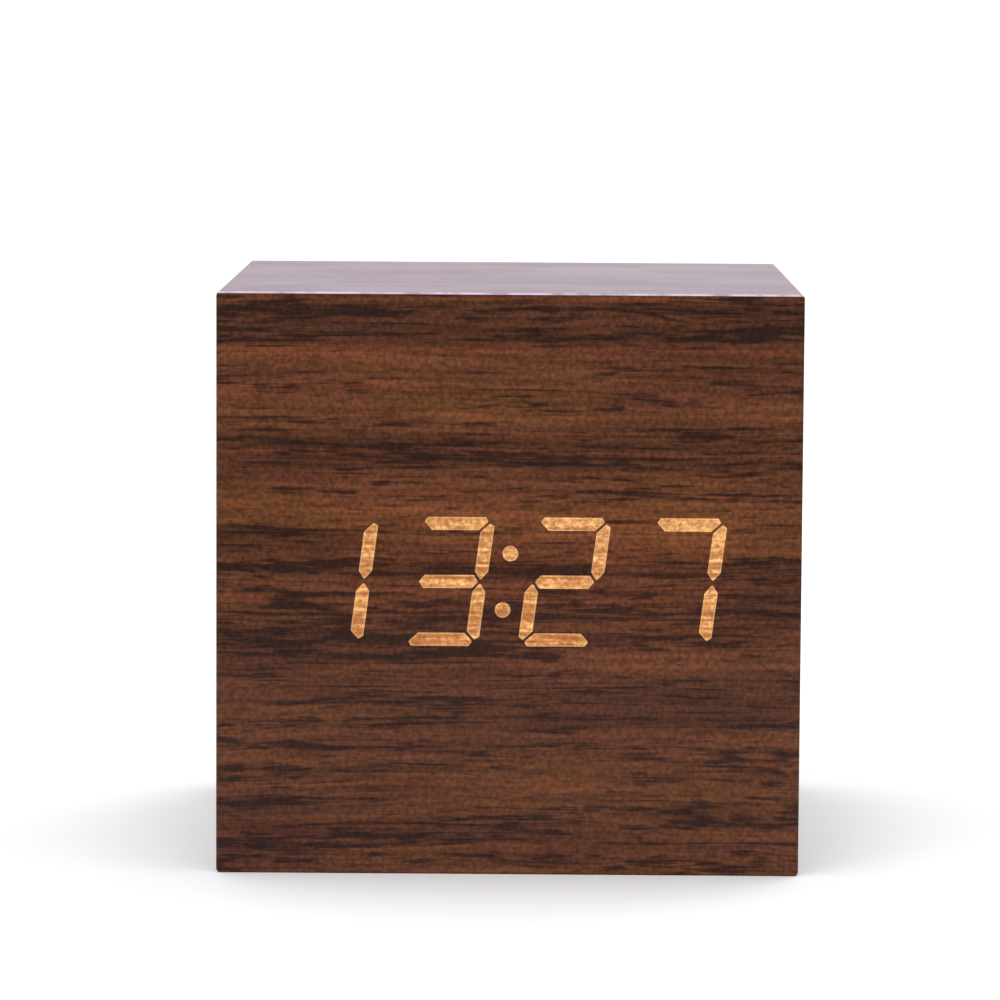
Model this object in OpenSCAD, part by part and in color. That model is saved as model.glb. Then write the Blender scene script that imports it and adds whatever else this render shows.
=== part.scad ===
// Cube desk clock. A mitred box of veneered boards carries a four digit light display whose segments
// shine through the front veneer. A screwed rear panel holds three push buttons, a power socket and a
// bay for three AAA cells behind a snap-in door. All sizes are in millimetres.
// Origin: centre of the underside. X runs to the right seen from the front, Y from front to back, Z up.

/* [Case] */
// Width of the case over the veneer
case_w = 64; // [63:1:90]
// Depth of the case over the veneer
case_d = 64; // [48:1:90]
// Height of the case over the veneer
case_h = 64; // [63:1:90]
// Thickness of the veneer
veneer_t = 0.4; // [0.3:0.1:0.6]
// Thickness of the case boards, where the case leaves room for it
board_t = 5; // [3:0.5:5.5]
// Thickness of the board behind the front veneer
front_board_t = 4; // [3:0.5:5]
// Rounding of the long edges of the case
edge_r = 0.5; // [0.2:0.1:0.6]
// Chamfer round the front face
front_chamfer = 0.2; // [0.1:0.05:0.25]
// Gap between glued boards that slide into each other
board_fit = 0.1; // [0.05:0.05:0.2]

/* [Time shown] */
// Hours that the display shows
hours = 13; // [0:1:23]
// Minutes that the display shows
minutes = 27; // [0:1:59]

/* [Display] */
// Height of a digit
digit_h = 14.2; // [12:0.1:15]
// Width of a digit before it is slanted
digit_w = 8.4; // [8:0.1:9.4]
// Distance from digit to digit
digit_pitch = 12.7; // [12.3:0.1:13]
// Slant of the digits in degrees
slant = 7.5; // [0:0.5:10]
// Width of a segment
segment_t = 1.45; // [1.2:0.05:1.7]
// Gap between neighbouring segments
segment_gap = 0.3; // [0.2:0.02:0.6]
// Distance of a segment's tip from the outer edge of the digit
segment_tip = 0.5; // [0.35:0.05:0.6]
// Length that the tip's outer chamfer takes off a segment
segment_nip = 0.33; // [0.2:0.01:0.5]
// Steepness of the points where segments meet at mid height
middle_slope = 1.3; // [1:0.1:1.6]
// Rounding of the corners of a lit segment
segment_r = 0.18; // [0.1:0.02:0.24]
// Diameter of the two colon dots
colon_d = 1.7; // [1.2:0.1:2.2]
// Distance between the two colon dots
colon_rise = 6.2; // [5:0.1:8]
// Shift of the display to the right of the face's centre
display_x = -0.25; // [-0.5:0.05:0.5]
// Shift of the display above the face's centre
display_z = 0.4; // [-0.5:0.1:0.5]
// Depth of the light baffle behind the veneer
baffle_depth = 7; // [6:0.5:10]
// Baffle left above and below the digits
baffle_rim = 2.4; // [1.5:0.1:3]
// Baffle left beside the outer digits
baffle_side = 0.5; // [0.4:0.1:0.8]
// Depth of the diffuser cast into each well of the baffle
diffuser_depth = 2.5; // [1:0.5:4]
// Gap round the diffusers and round the baffle in its window
baffle_fit = 0.05; // [0.02:0.01:0.1]
// Length of a light-emitting chip
led_l = 1.2; // [0.8:0.1:1.4]
// Width of a light-emitting chip
led_w = 0.6; // [0.4:0.1:0.8]
// Height of a light-emitting chip
led_h = 0.5; // [0.3:0.1:1]

/* [Main board] */
// Thickness of the circuit boards
pcb_t = 1.6; // [1:0.2:2]
// Width of the main board
main_board_w = 50.5; // [50:0.5:52]
// Height of the main board
main_board_h = 34; // [32:1:44]
// Distance of the main board's screws from its edges
main_screw_inset = 3; // [2.6:0.2:3.2]
// Outer diameter of the spacers under the main board
spacer_d = 4.6; // [4:0.2:5]
// Length of the controller chip
chip_l = 17.9; // [12:0.1:18]
// Width of the controller chip without its legs
chip_w = 7.5; // [5:0.5:8]
// Height of the controller chip
chip_h = 2.3; // [1.5:0.1:3]
// Number of legs along each side of the controller chip
chip_legs = 14; // [8:1:14]
// Distance from leg to leg of the controller chip
leg_pitch = 1.27; // [0.8:0.01:1.27]
// Length of the controller chip's legs
leg_l = 1.4; // [1:0.1:2]
// Width of the controller chip's legs
leg_w = 0.4; // [0.3:0.05:0.6]
// Thickness of the controller chip's legs
leg_t = 0.25; // [0.15:0.05:0.3]
// Diameter of the alarm buzzer
buzzer_d = 12; // [9:0.5:13]
// Height of the alarm buzzer
buzzer_h = 6; // [4:0.5:8]
// Diameter of the sound outlet in the buzzer
buzzer_hole_d = 2; // [1:0.5:4]
// Diameter of the microphone capsule
microphone_d = 6; // [4:0.5:7]
// Height of the microphone capsule
microphone_h = 2.7; // [1.5:0.1:5]
// Diameter of the filter capacitor
capacitor_d = 5; // [4:0.5:6.3]
// Height of the filter capacitor
capacitor_h = 7; // [5:0.5:11]
// Diameter of the quartz crystal's can
crystal_d = 2; // [1.5:0.5:3]
// Length of the quartz crystal's can
crystal_l = 6; // [5:0.2:8]
// Number of chip resistors in the row
resistor_count = 8; // [2:1:8]
// Distance from resistor to resistor
resistor_pitch = 2.6; // [2.2:0.1:3]

/* [Rear panel] */
// Depth of the rear panel below the case's rear edge
panel_recess = 1; // [0.9:0.1:2]
// Thickness of the rear panel
panel_t = 2; // [1.8:0.1:3]
// Gap round the rear panel
panel_gap = 0.15; // [0.1:0.05:0.3]
// Rounding of the rear panel's corners
panel_r = 0.8; // [0.4:0.1:1.5]
// Side of the wooden blocks in the corners behind the rear panel
block_side = 5.5; // [5:0.1:5.6]
// Length of the corner blocks
block_l = 10; // [9:0.5:14]
// Distance of the panel's screws from the inner walls of the case
panel_screw_inset = 2.85; // [2.7:0.05:3]
// Height of the strip that holds the controls above the battery bay
control_strip_h = 10.4; // [10:0.1:10.8]
// Diameter of the sound holes
sound_hole_d = 1.2; // [0.8:0.1:1.6]
// Number of sound holes
sound_holes = 5; // [3:1:9]
// Distance from sound hole to sound hole
sound_hole_pitch = 2.6; // [2:0.1:3]
// Height of the sound holes above the inner floor of the case
sound_hole_rise = 3.4; // [2.5:0.1:4]

/* [Buttons] */
// Diameter of a button's cap
button_d = 5; // [4:0.1:5.2]
// Height of a button's cap above the rear panel
button_proud = 0.8; // [0.5:0.1:0.85]
// Travel of a button
button_travel = 0.4; // [0.2:0.05:0.5]
// Gap round a button in its hole
button_fit = 0.2; // [0.1:0.05:0.3]
// Width of the flange that keeps a button behind the panel, beyond the cap
flange_lip = 0.7; // [0.5:0.05:0.75]
// Thickness of that flange
flange_t = 0.8; // [0.6:0.1:1.2]
// Distance from button to button
button_pitch = 8; // [7.6:0.1:8.3]
// Depth of the mark moulded into a button
mark_depth = 0.2; // [0.1:0.05:0.3]
// Side of a key switch
switch_side = 6; // [5:0.1:6.5]
// Height of a key switch without its plunger
switch_h = 3.5; // [3:0.1:5]
// Diameter of a switch plunger
plunger_d = 3.4; // [2.5:0.1:3.6]
// Length of the plunger that shows above the switch
plunger_out = 1; // [0.8:0.1:1.5]
// Length of the plunger inside the switch
plunger_in = 0.8; // [0.5:0.1:1]
// Radial gap round a plunger in its switch
plunger_fit = 0.1; // [0.05:0.05:0.2]
// Height of the key board
key_board_h = 8.2; // [7.4:0.2:9]
// Diameter of the posts that carry the key board
post_d = 3.4; // [3:0.1:3.6]
// Distance from the outer button or the socket to the nearest post
post_pitch = 5.8; // [5.7:0.05:6]

/* [Power socket] */
// Width of the socket's metal shell
usb_w = 7.4; // [6.8:0.1:7.6]
// Height of the socket's metal shell
usb_h = 2.8; // [2.4:0.1:3.2]
// Thickness of the socket's metal shell
usb_wall = 0.3; // [0.2:0.05:0.4]
// Slanted corner of the socket's shell
usb_corner = 0.8; // [0.5:0.1:1]
// Depth of the socket's mouth below the panel's surface
usb_sink = 0.3; // [0:0.1:0.6]
// Gap round the socket in the panel
usb_fit = 0.25; // [0.1:0.05:0.4]
// Distance from the last button to the socket
usb_pitch = 8; // [7.8:0.1:8.4]

/* [Batteries] */
// Diameter of a cell
cell_d = 10.5; // [10:0.1:10.7]
// Length of a cell with its positive nub
cell_l = 44.5; // [43:0.1:45]
// Diameter of the positive nub
nub_d = 3.8; // [3:0.1:5]
// Height of the positive nub
nub_h = 1; // [0.8:0.1:1.5]
// Gap between neighbouring cells
cell_gap = 0.4; // [0.3:0.05:0.5]
// Gap under a cell in its trough
cell_clear = 0.3; // [0.2:0.05:0.35]
// Gap between the outer cells and the walls of the bay
bay_side = 0.5; // [0.4:0.05:0.6]
// Thickness of the walls of the battery bay
bay_wall = 1.2; // [1:0.1:1.3]
// Thickness of the metal contact plates
contact_t = 0.4; // [0.3:0.05:0.5]
// Width of a contact plate at one cell
contact_w = 8.4; // [7:0.1:9]
// Play between a cell and its contacts
contact_play = 0.1; // [0.05:0.05:0.2]
// Width of the solder tags on the end contacts
tag_w = 2.2; // [1.5:0.1:3]
// Length of the solder tags below the bay
tag_l = 2.5; // [1.5:0.1:4]
// Room that a contact spring takes along the cell
spring_l = 2.8; // [2.6:0.1:3.2]
// Diameter of a contact spring where it meets its plate
spring_d = 7.4; // [6.4:0.1:8]
// Diameter of a contact spring where it meets the cell
spring_tip_d = 4; // [3:0.1:4.4]
// Diameter of the spring wire
spring_wire = 0.5; // [0.4:0.05:0.55]
// Turns of a contact spring
spring_turns = 2.5; // [2:0.25:2.75]
// Diameter of the battery leads
lead_d = 1.2; // [0.8:0.1:1.6]
// Width of the flat cable between the boards
cable_w = 6; // [4:0.5:8]
// Thickness of the flat cable
cable_t = 0.6; // [0.4:0.1:1]
// Height of the flat cable's end on the main board above the middle of the case
cable_rise = 12; // [8:0.5:14]

/* [Battery door] */
// Thickness of the battery door
door_t = 1.2; // [1:0.05:1.3]
// Rounding of the battery door's upper corners
door_r = 1.2; // [0.6:0.1:2]
// Width of the ledge that the door rests on
door_lip = 1; // [0.9:0.05:1.1]
// Gap round the door
door_gap = 0.15; // [0.1:0.05:0.2]
// Gap under the door on its ledge
door_seat = 0.1; // [0.05:0.05:0.15]
// Gap between the door and the cells
cell_cover = 1; // [0.9:0.1:1.5]
// Width of each tab that hooks under the panel
tab_w = 6; // [4:0.5:8]
// Distance of each tab from the middle of the door
tab_x = 14; // [10:0.5:18]
// Thickness of a tab
tab_t = 1.1; // [0.8:0.1:1.2]
// Length of a tab under the panel
tab_reach = 1.5; // [1.2:0.1:1.6]
// Gap round the tabs and the latch in the panel
hook_fit = 0.3; // [0.2:0.05:0.4]
// Width of the snap latch
latch_w = 9; // [6:0.5:12]
// Height of the notch in the door that the latch stands in
latch_h = 3.2; // [2.8:0.1:3.3]
// Thickness of the latch's legs
latch_t = 0.8; // [0.6:0.05:0.9]
// Depth of the latch below the door
latch_depth = 1.4; // [1.3:0.05:1.5]
// Height of the latch's hook
latch_hook = 0.9; // [0.6:0.05:1]
// Radius of the finger scoop above the latch
scoop_r = 2.2; // [1.5:0.1:2.3]
// Depth of the finger scoop
scoop_depth = 0.9; // [0.5:0.1:1.2]
// Width of the ribs inside the door that steady the cells
door_rib_w = 1; // [0.6:0.1:2]
// Height of the ribs inside the door
door_rib_h = 0.6; // [0.3:0.1:0.7]
// Number of grip grooves below the latch
grip_count = 4; // [2:1:6]
// Distance from grip groove to grip groove
grip_pitch = 1.4; // [1:0.1:2]
// Width of a grip groove
grip_w = 0.6; // [0.4:0.1:0.8]
// Depth of a grip groove
grip_depth = 0.3; // [0.2:0.05:0.5]

/* [Fasteners] */
// Shank diameter of the rear panel's screws
panel_screw_d = 2.2; // [2:0.1:2.4]
// Head diameter of the rear panel's screws
panel_screw_head_d = 4.2; // [3.8:0.1:4.4]
// Length of the rear panel's screws below the panel
panel_screw_l = 7; // [5:0.5:8]
// Shank diameter of the circuit boards' screws
board_screw_d = 1.7; // [1.4:0.1:2]
// Head diameter of the circuit boards' screws
board_screw_head_d = 3.2; // [2.8:0.1:3.6]
// Head height of the circuit boards' screws
board_screw_head_h = 1.2; // [0.8:0.1:1.6]
// Length of the main board's screws in the front board
main_screw_bite = 2.6; // [2:0.1:2.8]
// Length of the key board's screws in their posts
key_screw_bite = 3.5; // [2.5:0.1:4]
// Radial gap round a screw in its pilot hole
pilot_fit = 0.05; // [0.02:0.01:0.08]
// Radial gap round a screw in a clearance hole
screw_fit = 0.3; // [0.2:0.05:0.4]
// Width of the cross slots in the screw heads
cross_w = 0.5; // [0.3:0.05:0.7]

/* [Hidden] */
$fn = 64;
over = 1; // overshoot of a cutting body past the face that it cuts

// Planes from front to back
front_y = -case_d / 2;
veneer_back_y = front_y + veneer_t;
front_board_back_y = veneer_back_y + front_board_t;
main_board_y = veneer_back_y + baffle_depth;
main_board_back_y = main_board_y + pcb_t;
rear_y = case_d / 2;
board_end_y = rear_y - veneer_t;
panel_out_y = rear_y - panel_recess;
panel_in_y = panel_out_y - panel_t;

// Display
middle_z = case_h / 2;
digits = [floor(hours / 10), hours % 10, floor(minutes / 10), minutes % 10];
SEGMENT_NAMES = "abcdefg";
SEGMENTS_ON = ["abcdef", "bc", "abdeg", "abcdg", "bcfg", "acdfg", "acdefg", "abc", "abcdefg", "abcdfg"];
display_centre = [display_x, middle_z + display_z];
half_w = digit_w / 2;
half_h = digit_h / 2;
mitre = segment_gap / sqrt(2);
middle_rise = 0.6 * segment_gap;
shoulder_rise = middle_rise + middle_slope * segment_t / 2;
middle_inset = segment_t / 2 + (segment_gap * sqrt(1 + pow(middle_slope, 2)) - middle_rise) / middle_slope;
shoulder_inset = middle_inset + segment_t / 2 / middle_slope;
digit_lean = digit_h * tan(slant);
baffle_w = 3 * digit_pitch + digit_w + digit_lean + 2 * baffle_side;
baffle_h = digit_h + 2 * baffle_rim;
corner_steps = 4;

// Battery bay
cell_pitch = cell_d + cell_gap;
cell_count = 3;
bay_h = (cell_count - 1) * cell_pitch + cell_d + 2 * bay_side;
bay_w = cell_l + spring_l + 2 * contact_t + 2 * contact_play;

// Inside of the case: the room that the boards leave, or the room that its contents need if that is more.
// The boards are then planed down to what is left.
least_rim = 0.8; // panel beside the door, or front board beside the baffle
least_gap = 0.5; // between the boards or blocks of the case and what stands beside them
bay_room_w = bay_w + 2 * (door_lip + least_rim + panel_gap);
baffle_room_w = baffle_w + 2 * (abs(display_x) + baffle_fit + least_rim + board_fit);
main_board_room_w = main_board_w + 2 * (abs(display_x) + least_gap);
bay_room_h = control_strip_h + bay_h + 2 * bay_wall + least_gap + block_side;
inner_w = max(case_w - 2 * (veneer_t + board_t), bay_room_w, baffle_room_w, main_board_room_w);
inner_h = max(case_h - 2 * (veneer_t + board_t), bay_room_h);
side_board_t = (case_w - inner_w) / 2 - veneer_t;
cap_board_t = (case_h - inner_h) / 2 - veneer_t;
floor_z = veneer_t + cap_board_t;
ceiling_z = case_h - floor_z;

// Main board
main_screw_x = main_board_w / 2 - main_screw_inset;
main_screw_z = main_board_h / 2 - main_screw_inset;
resistor_size = [1.6, 0.5, 0.8];
seat_gap = 0.05; // under round pieces that lie on a board
chip_z = -3;
crystal_x = 15;
buzzer_at = [-16, 7];
capacitor_at = [8, 10];
microphone_at = [16, 8];
resistor_z = -11;
lead_pad = [13, -13];

// Places in the battery bay
bay_top = ceiling_z - control_strip_h - bay_wall;
bay_bottom = bay_top - bay_h;
bay_z = (bay_top + bay_bottom) / 2;
door_in_y = panel_out_y - door_t;
ledge_y = door_in_y - door_seat;
cell_y = door_in_y - cell_cover - cell_d / 2;
trough_r = cell_d / 2 + cell_clear;
contact_sink = 0.2; // depth of the contact slots below the troughs
slot_t = contact_t + contact_play;
slot_floor_y = cell_y - trough_r - contact_sink;
bay_floor_y = slot_floor_y - bay_wall;
contact_top_y = cell_y + contact_w / 2;

// Battery door
door_w = bay_w + 2 * (door_lip - door_gap);
door_h = bay_h + 2 * (door_lip - door_gap);
door_top = bay_z + door_h / 2;
door_bottom = bay_z - door_h / 2;
hinge_y = panel_out_y - door_t / 2;
hinge_z = door_bottom + door_t / 2;
tab_leg_h = tab_reach;
tab_out_y = panel_in_y - door_gap;
tab_in_y = tab_out_y - tab_t;
tab_low = door_bottom - tab_reach;
tab_swing_y = hinge_y - norm([hinge_y - tab_in_y, hinge_z - tab_low]) - hook_fit;
latch_in_y = door_in_y - latch_depth;
hook_out_y = panel_in_y - door_seat;
latch_bottom = door_top - latch_h;
door_notch_w = latch_w + 2 * hook_fit;

// Control strip, laid out from +X to -X: post, set, up, down, socket, post
strip_z = ceiling_z - control_strip_h / 2;
strip_l = 2 * post_pitch + 2 * button_pitch + usb_pitch;
post_x = strip_l / 2;
set_x = post_x - post_pitch;
up_x = set_x - button_pitch;
down_x = up_x - button_pitch;
usb_x = down_x - usb_pitch;
flange_play = 0.1;
flange_out_y = panel_in_y - flange_play;
flange_in_y = flange_out_y - flange_t;
switch_y = flange_in_y - plunger_out;
key_board_y = switch_y - switch_h;
key_board_in_y = key_board_y - pcb_t;
key_board_w = strip_l + post_d;
usb_out_y = panel_out_y - usb_sink;
cable_z = middle_z + cable_rise;

// Screws
panel_screw_x = inner_w / 2 - panel_screw_inset;
panel_screw_z = inner_h / 2 - panel_screw_inset;
panel_head_h = (panel_screw_head_d - panel_screw_d) / 2;
cross_share = 0.6; // length of the cross slots as a share of the head's diameter

WALNUT = "#5d3a2b";
LIT = "#f0b46a";
FIBREBOARD = "#b08d62";
BLACK_PLASTIC = "#1c1c1e";
METAL = "#c9cbce";
GREEN_BOARD = "#1f5b3a";

// Helpers

// A flat outline in X and Z that stands upright and fills the space from y0 to y1
module slab(y0, y1) {
    translate([0, y1, 0]) rotate([90, 0, 0]) linear_extrude(y1 - y0) children();
}

// A flat outline in Y and Z that fills the space of width w centred on x
module across(x, w) {
    translate([x - w / 2, 0, 0]) rotate([90, 0, 90]) linear_extrude(w) children();
}

// A round bar along Y from y0 to y1 at [x, z]
module bar_y(at, y0, y1, d) {
    translate([at[0], y0, at[1]]) rotate([-90, 0, 0]) cylinder(h = y1 - y0, d = d);
}

// Children stand on the point [at[0], y, at[1]] with their own Z along the case's Y
module towards_rear(at, y) {
    translate([at[0], y, at[1]]) rotate([-90, 0, 0]) children();
}

// An exact rectangle with round corners, centred on the origin
module round_rect(w, h, r) {
    square([w - 2 * r, h], center = true);
    square([w, h - 2 * r], center = true);
    for (x = [-1, 1], y = [-1, 1]) translate([x * (w / 2 - r), y * (h / 2 - r)]) circle(r);
}

function unit(v) = v / norm(v);

// Outline with each corner of p rounded to about radius r
function rounded(p, r) = [
    for (i = [0:len(p) - 1])
        let (
            corner = p[i],
            u = unit(p[(i + len(p) - 1) % len(p)] - corner),
            v = unit(p[(i + 1) % len(p)] - corner),
            cut = r / tan(acos(u * v) / 2)
        )
        for (k = [0:corner_steps])
            let (s = k / corner_steps)
            corner + pow(1 - s, 2) * cut * u + pow(s, 2) * cut * v
];

// Point on a cubic curve with the four control points p
function bezier(p, s) =
    pow(1 - s, 3) * p[0] + 3 * pow(1 - s, 2) * s * p[1] + 3 * (1 - s) * s * s * p[2] + pow(s, 3) * p[3];

// A closed tube of radius r along path; across is a direction that the path never takes
module tube(path, r, sides, across) {
    last = len(path) - 1;
    points = [
        for (i = [0:last])
            let (
                along = unit(path[min(i + 1, last)] - path[max(i - 1, 0)]),
                u = unit(cross(along, across)),
                v = cross(along, u)
            )
            for (k = [0:sides - 1])
                path[i] + r * (cos(360 * k / sides) * u + sin(360 * k / sides) * v)
    ];
    walls = [
        for (i = [0:last - 1], k = [0:sides - 1])
            let (a = i * sides + k, b = i * sides + (k + 1) % sides)
            each [[a, b, a + sides], [b, b + sides, a + sides]]
    ];
    caps = [
        for (k = [1:sides - 2])
            each [[0, k + 1, k], [last * sides, last * sides + k, last * sides + k + 1]]
    ];
    polyhedron(points = points, faces = concat(walls, caps));
}

// A screw's shank with its tip at the origin and its head above; the head is flat or sunk
module screw(d, l, head_d, head_h, sunk) {
    difference() {
        union() {
            cylinder(h = l, d = d);
            translate([0, 0, l]) cylinder(h = head_h, d1 = sunk ? d : head_d, d2 = head_d);
        }
        for (turn = [0, 90])
            translate([0, 0, l + head_h]) rotate([0, 0, turn])
                cube([cross_share * head_d, cross_w, head_h], center = true);
    }
}

// Case of veneered boards

// A strip along the case with its outer face at z = 0, mitred to meet strips of thickness next_t beside it
module mitred_strip(span, t, next_t) {
    slab(veneer_back_y, board_end_y)
        polygon([[-span / 2, 0], [span / 2, 0], [span / 2 - next_t, -t], [-span / 2 + next_t, -t]]);
}

// The top and the bottom lie, at turns of 0 and 180 degrees
function lies(turn) = turn % 180 == 0;

// Places a strip made for the top on one of the four sides, at a depth below the outer face
module on_side(turn, depth) {
    reach = (lies(turn) ? case_h : case_w) / 2 - depth;
    translate([0, 0, middle_z]) rotate([0, turn, 0]) translate([0, 0, reach]) children();
}

module case_outline() {
    translate([0, middle_z]) round_rect(case_w, case_h, edge_r);
}

module case_board(turn) {
    span = (lies(turn) ? case_w : case_h) - 2 * veneer_t;
    t = lies(turn) ? cap_board_t : side_board_t;
    next_t = lies(turn) ? side_board_t : cap_board_t;
    color(FIBREBOARD) on_side(turn, veneer_t) mitred_strip(span, t, next_t);
}

module side_veneer(turn) {
    span = lies(turn) ? case_w : case_h;
    color(WALNUT) intersection() {
        on_side(turn, 0) mitred_strip(span, veneer_t, veneer_t);
        slab(front_y, rear_y) case_outline();
    }
}

module top_board() case_board(0);
module right_board() case_board(90);
module bottom_board() case_board(180);
module left_board() case_board(270);
module top_veneer() side_veneer(0);
module right_veneer() side_veneer(90);
module bottom_veneer() side_veneer(180);
module left_veneer() side_veneer(270);

module rear_edge_veneer() {
    color(WALNUT) slab(board_end_y, rear_y) difference() {
        case_outline();
        translate([0, middle_z]) square([inner_w, inner_h], center = true);
    }
}

// Section through the front's two chamfered edges, as [depth, place along a side of length l]
function chamfered_edge(l) = [
    [front_y, front_chamfer], [front_y, l - front_chamfer], [front_y + front_chamfer, l],
    [rear_y, l], [rear_y, 0], [front_y + front_chamfer, 0]
];

module front_veneer() {
    color(WALNUT) difference() {
        intersection() {
            slab(front_y, veneer_back_y) case_outline();
            across(0, case_w + over) polygon(chamfered_edge(case_h));
            linear_extrude(case_h) polygon([for (p = chamfered_edge(case_w)) [p[1] - case_w / 2, p[0]]]);
        }
        lit_prisms(front_y - over, veneer_back_y + over);
    }
}

module front_board() {
    color(FIBREBOARD) difference() {
        slab(veneer_back_y, front_board_back_y) translate([0, middle_z])
            square([inner_w - 2 * board_fit, inner_h - 2 * board_fit], center = true);
        slab(veneer_back_y - over, front_board_back_y + over) translate(display_centre)
            square([baffle_w + 2 * baffle_fit, baffle_h + 2 * baffle_fit], center = true);
        at_main_screws()
            bar_y([0, 0], front_board_back_y - main_screw_bite - pilot_fit, front_board_back_y + over,
                board_screw_d + 2 * pilot_fit);
    }
}

module corner_blocks() {
    block_x = (inner_w - block_side) / 2;
    block_z = (inner_h - block_side) / 2;
    color(FIBREBOARD) for (x = [-1, 1], z = [-1, 1]) difference() {
        translate([x * block_x, panel_in_y - block_l / 2, middle_z + z * block_z])
            cube([block_side, block_l, block_side], center = true);
        bar_y([x * panel_screw_x, middle_z + z * panel_screw_z],
            panel_in_y - panel_screw_l - pilot_fit, panel_in_y + over, panel_screw_d + 2 * pilot_fit);
    }
}

// Display

// Outlines of the seven segments in a digit centred on the origin, before the slant
function upper_bar() = [
    [-half_w + segment_tip + mitre + segment_nip, half_h],
    [half_w - segment_tip - mitre - segment_nip, half_h],
    [half_w - segment_tip - mitre, half_h - segment_tip],
    [half_w - segment_t - mitre, half_h - segment_t],
    [-half_w + segment_t + mitre, half_h - segment_t],
    [-half_w + segment_tip + mitre, half_h - segment_tip]
];
function upper_right_bar() = [
    [half_w, half_h - segment_tip - mitre - segment_nip],
    [half_w, shoulder_rise],
    [half_w - segment_t / 2, middle_rise],
    [half_w - segment_t, shoulder_rise],
    [half_w - segment_t, half_h - segment_t - mitre],
    [half_w - segment_tip, half_h - segment_tip - mitre]
];
function middle_bar() = [
    [-half_w + shoulder_inset, segment_t / 2],
    [half_w - shoulder_inset, segment_t / 2],
    [half_w - middle_inset, 0],
    [half_w - shoulder_inset, -segment_t / 2],
    [-half_w + shoulder_inset, -segment_t / 2],
    [-half_w + middle_inset, 0]
];
function flipped(p, x, y) = [for (q = p) [x * q[0], y * q[1]]];
function slanted(p) = [for (q = p) [q[0] + q[1] * tan(slant), q[1]]];
function segment(name) = slanted(
    name == "a" ? upper_bar() :
    name == "b" ? upper_right_bar() :
    name == "c" ? flipped(upper_right_bar(), 1, -1) :
    name == "d" ? flipped(upper_bar(), 1, -1) :
    name == "e" ? flipped(upper_right_bar(), -1, -1) :
    name == "f" ? flipped(upper_right_bar(), -1, 1) :
    middle_bar()
);
function is_on(place, name) = len(search(name, SEGMENTS_ON[digits[place]])) > 0;
function digit_x(place) = (place - 1.5) * digit_pitch;
function dot_at(side) = [side * colon_rise / 2 * tan(slant), side * colon_rise / 2];

module at_display() {
    translate(display_centre) children();
}

// The lit segments and colon dots as upright prisms from y0 to y1
module lit_prisms(y0, y1) {
    slab(y0, y1) at_display() {
        for (place = [0:3], name = SEGMENT_NAMES)
            if (is_on(place, name))
                translate([digit_x(place), 0]) polygon(rounded(segment(name), segment_r));
        for (side = [-1, 1]) translate(dot_at(side)) circle(d = colon_d);
    }
}

// Every segment and dot, drawn in by inset
module all_segments(inset) {
    at_display() {
        for (place = [0:3], name = SEGMENT_NAMES)
            translate([digit_x(place), 0]) polygon(drawn_in(segment(name), inset));
        for (side = [-1, 1]) translate(dot_at(side)) circle(d = colon_d - 2 * inset);
    }
}

// The convex outline p with every side moved inwards by inset
function drawn_in(p, inset) = [
    for (i = [0:len(p) - 1])
        let (
            u = unit(p[i] - p[(i + len(p) - 1) % len(p)]),
            v = unit(p[(i + 1) % len(p)] - p[i])
        )
        p[i] + inset * (v - u) / abs(cross(u, v))
];

module lit_segments() {
    color(LIT) lit_prisms(front_y, veneer_back_y);
}

module segment_diffusers() {
    color("#f4efe2") slab(veneer_back_y, veneer_back_y + diffuser_depth) all_segments(baffle_fit);
}

module light_baffle() {
    color(BLACK_PLASTIC) slab(veneer_back_y, main_board_y) difference() {
        at_display() square([baffle_w, baffle_h], center = true);
        all_segments(0);
    }
}

// Mean of the points of p
function middle_of(p) = [for (k = [0, 1]) [for (q = p) q[k]] * [for (q = p) 1] / len(p)];

module led_chips() {
    color("#e8d27a") slab(main_board_y - led_h, main_board_y) at_display() {
        for (place = [0:3], name = SEGMENT_NAMES) {
            is_bar = name == "a" || name == "d" || name == "g";
            translate([digit_x(place), 0] + middle_of(segment(name)))
                square(is_bar ? [led_l, led_w] : [led_w, led_l], center = true);
        }
        for (side = [-1, 1]) translate(dot_at(side)) square([led_w, led_w], center = true);
    }
}

// Main board and what is soldered to it

module at_main_screws() {
    for (x = [-1, 1], z = [-1, 1])
        translate([display_x + x * main_screw_x, 0, display_centre[1] + z * main_screw_z]) children();
}

// Children stand on the back of the main board at a place counted from the display's centre
module on_main_board(at) {
    towards_rear(display_centre + at, main_board_back_y) children();
}

module main_board() {
    color(GREEN_BOARD) difference() {
        slab(main_board_y, main_board_back_y) at_display()
            square([main_board_w, main_board_h], center = true);
        at_main_screws()
            bar_y([0, 0], main_board_y - over, main_board_back_y + over, board_screw_d + 2 * screw_fit);
    }
}

module board_spacers() {
    color("#e6e2d8") at_main_screws() difference() {
        bar_y([0, 0], front_board_back_y, main_board_y, spacer_d);
        bar_y([0, 0], front_board_back_y - over, main_board_y + over, board_screw_d + 2 * screw_fit);
    }
}

module main_board_screws() {
    shank = main_screw_bite + main_board_back_y - front_board_back_y;
    color(METAL) at_main_screws() towards_rear([0, 0], front_board_back_y - main_screw_bite)
        screw(board_screw_d, shank, board_screw_head_d, board_screw_head_h, false);
}

module controller_chip() {
    color(BLACK_PLASTIC) on_main_board([0, chip_z]) {
        translate([-chip_l / 2, -chip_w / 2, leg_t]) cube([chip_l, chip_w, chip_h - leg_t]);
        for (i = [0:chip_legs - 1], side = [-1, 1])
            translate([(i - (chip_legs - 1) / 2) * leg_pitch, side * chip_w / 2, leg_t])
                cube([leg_w, 2 * leg_l, 2 * leg_t], center = true);
    }
}

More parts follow.
